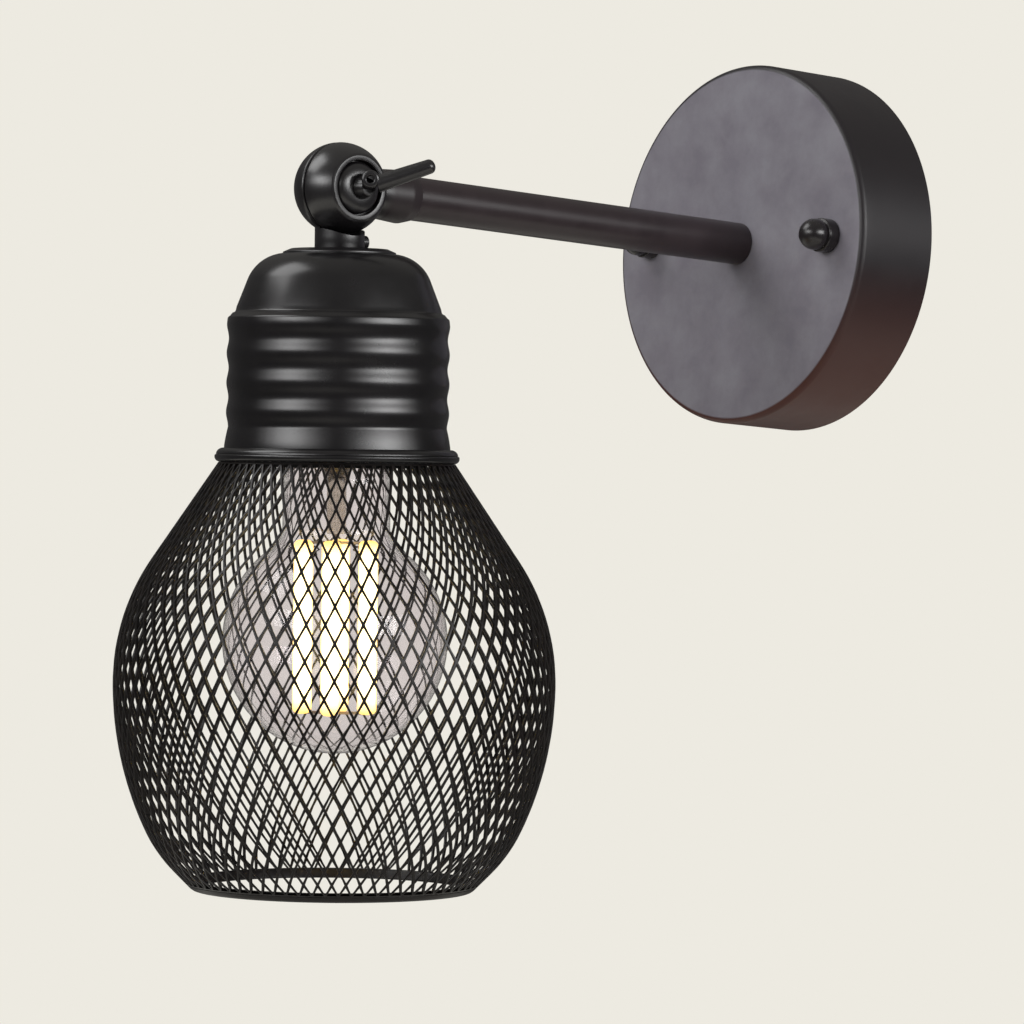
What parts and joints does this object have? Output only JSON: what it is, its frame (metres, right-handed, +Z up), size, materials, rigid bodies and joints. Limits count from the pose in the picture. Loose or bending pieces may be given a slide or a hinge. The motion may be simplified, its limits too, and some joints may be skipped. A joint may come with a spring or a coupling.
{
  "type": "cage wall light",
  "caption": "Wall light: round canopy, straight arm and clamped ball joint carrying a tilting ribbed cap with an open-bottomed mesh cage round a clear lamp.",
  "frame": {"origin": "centre of the canopy's back on the wall, midway between the two wall slots", "axes": "-Y out of the wall along the arm, +X to the right of someone facing the wall, +Z up"},
  "size_m": [0.1174, 0.2187, 0.2392],
  "materials": {
    "pewter_lacquer": "satin grey-brown lacquer with a faint cloudy mottle",
    "smoked_metal": "satin dark smoked nickel with soft wide highlights",
    "dark_steel": "dark grey-brown lacquer on expanded steel, semi-gloss",
    "zinc_steel": "dull zinc plate",
    "plain_brass": "plain turned brass",
    "black_moulding": "moulded thermoset, fine satin",
    "white_moulding": "moulded nylon",
    "plated_screws": "bright plated steel",
    "glazed_porcelain": "glazed white porcelain",
    "brown_insulation": "smooth brown insulation",
    "green_insulation": "smooth green insulation with a yellow stripe",
    "fibre": "pressed fibre",
    "lamp_metal": "rolled thin metal, semi-bright",
    "lamp_insulator": "black vitreous glass",
    "circuit_board": "green board with small parts",
    "clear_glass": "clear blown glass",
    "stem_glass": "drawn glass, slightly milky",
    "support_wire": "drawn wire",
    "warm_glow": "glowing amber coating"
  },
  "bodies": {
    "wall_arm": {"canopy": "pewter_lacquer", "wall_bracket": "zinc_steel", "fixing_studs": "zinc_steel", "cap_nuts": "smoked_metal", "earth_screw": "plain_brass", "terminal_block": "white_moulding", "terminal_screws": "plated_screws", "earth_wire": "green_insulation", "arm_wires": "brown_insulation", "arm_nipple": "plain_brass", "lock_washer": "zinc_steel", "lock_nut": "zinc_steel", "arm_tube": "smoked_metal", "arm_knuckle": "smoked_metal", "stop_pin": "zinc_steel"},
    "head": {"head_knuckle": "smoked_metal", "friction_washer": "fibre", "grub_screw": "dark_steel", "neck_nipple": "plain_brass", "cap_plate": "smoked_metal", "lamp_cap": "smoked_metal", "tooth_washer": "zinc_steel", "holder_dome": "black_moulding", "holder_body": "black_moulding", "holder_core": "glazed_porcelain", "centre_contact": "plain_brass", "socket_shell": "plain_brass", "holder_terminals": "plain_brass", "head_wires": "brown_insulation", "shade_rings": "black_moulding", "cage_collar": "smoked_metal", "cage_mesh": "dark_steel", "cage_hem": "dark_steel"},
    "washer": {"domed_washer": "smoked_metal"},
    "lever": {"clamp_lever": "smoked_metal"},
    "lamp_foot": {"bulb_contact": "lamp_metal"},
    "lamp": {"bulb_insulator": "lamp_insulator", "bulb_shell": "lamp_metal", "bulb_driver": "circuit_board", "bulb_glass": "clear_glass", "bulb_stem": "stem_glass", "bulb_supports": "support_wire", "bulb_rods": "warm_glow"}
  },
  "joints": [
    {"name": "head_tilt", "type": "hinge", "parent": "wall_arm", "child": "head", "pos_m": [0, -0.1689, 0], "axis": [1, 0, 0], "range_deg": [-123.9, 20]},
    {"name": "lever_travel", "type": "slide", "parent": "head", "child": "washer", "axis": [1, 0, 0], "range_m": [0, 0.0016]},
    {"name": "lever_turn", "type": "hinge", "parent": "washer", "child": "lever", "pos_m": [0, -0.1689, 0], "axis": [1, 0, 0], "range_deg": [0, 722]},
    {"name": "lamp_travel", "type": "slide", "parent": "head", "child": "lamp_foot", "axis": [0, 0.068, -0.9977], "range_m": [0, 0.0182]},
    {"name": "lamp_turn", "type": "hinge", "parent": "lamp_foot", "child": "lamp", "pos_m": [0, -0.1689, 0], "axis": [0, 0.068, -0.9977], "range_deg": [0, 1800]}
  ],
  "couplings": [
    {"joint": "lever_turn", "follows": "lever_travel", "rad_per_m": 7854},
    {"joint": "lamp_travel", "follows": "lamp_turn", "m_per_rad": 0.00057757}
  ]
}
